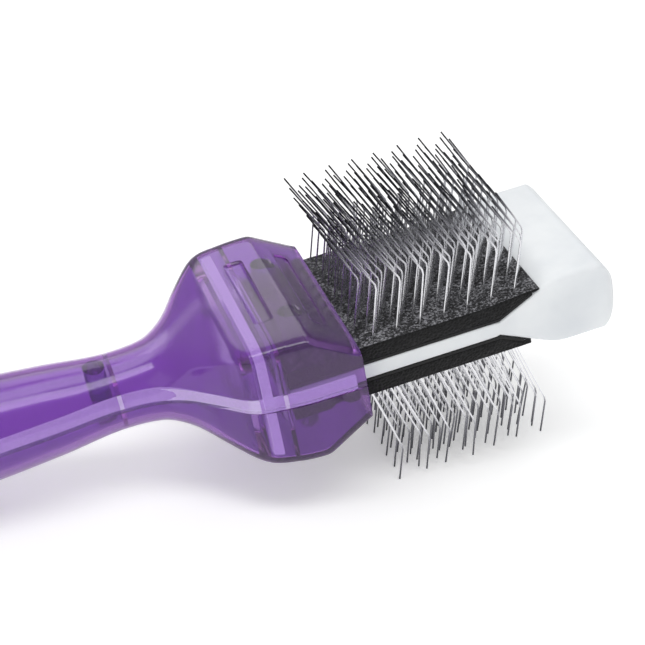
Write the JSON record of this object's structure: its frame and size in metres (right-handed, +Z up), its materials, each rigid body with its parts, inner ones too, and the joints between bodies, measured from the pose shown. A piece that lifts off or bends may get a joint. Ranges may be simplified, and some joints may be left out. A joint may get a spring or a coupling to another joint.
{
  "type": "double-sided flexible pin brush",
  "caption": "Grooming brush with a two-sided flexible head of bent wire pins in foam pads and a hollow handle made of two shells, resting on its pins and the end of its handle.",
  "frame": {"origin": "centre of the bounding box's bottom face, on the surface the brush rests on", "axes": "+X from the butt of the handle to the nose of the head, level; +Z up; the brush is stored resting on its first row of lower pins and the end of its handle, with the nose raised about 10 degrees"},
  "size_m": [0.2069, 0.0544, 0.0713],
  "materials": {
    "handle_plastic": "glossy translucent violet injection-moulded plastic",
    "core_plastic": "smooth soft white moulded rubber-like plastic",
    "backing_cloth": "grey woven pin cloth",
    "foam_pad": "black felted foam",
    "steel_wire": "bright drawn steel wire"
  },
  "bodies": {
    "handle": {"upper_handle_shell": "handle_plastic", "lower_handle_shell": "handle_plastic"},
    "head": {"flexible_core": "core_plastic", "upper_backing": "backing_cloth", "lower_backing": "backing_cloth", "upper_pad": "foam_pad", "lower_pad": "foam_pad", "upper_pin_row_01": "steel_wire", "upper_pin_row_02": "steel_wire", "upper_pin_row_03": "steel_wire", "upper_pin_row_04": "steel_wire", "upper_pin_row_05": "steel_wire", "upper_pin_row_06": "steel_wire", "upper_pin_row_07": "steel_wire", "upper_pin_row_08": "steel_wire", "upper_pin_row_09": "steel_wire", "upper_pin_row_10": "steel_wire", "upper_pin_row_11": "steel_wire", "upper_pin_row_12": "steel_wire", "upper_pin_row_13": "steel_wire", "upper_pin_row_14": "steel_wire", "upper_pin_row_15": "steel_wire", "lower_pin_row_01": "steel_wire", "lower_pin_row_02": "steel_wire", "lower_pin_row_03": "steel_wire", "lower_pin_row_04": "steel_wire", "lower_pin_row_05": "steel_wire", "lower_pin_row_06": "steel_wire", "lower_pin_row_07": "steel_wire", "lower_pin_row_08": "steel_wire", "lower_pin_row_09": "steel_wire", "lower_pin_row_10": "steel_wire", "lower_pin_row_11": "steel_wire", "lower_pin_row_12": "steel_wire", "lower_pin_row_13": "steel_wire"}
  },
  "joints": [
    {"name": "head_flex", "type": "hinge", "parent": "handle", "child": "head", "pos_m": [0.03935, 0, 0.0334], "axis": [0, 1, 0], "range_deg": [-8, 8], "stiffness_Nm_per_rad": 1.5}
  ]
}
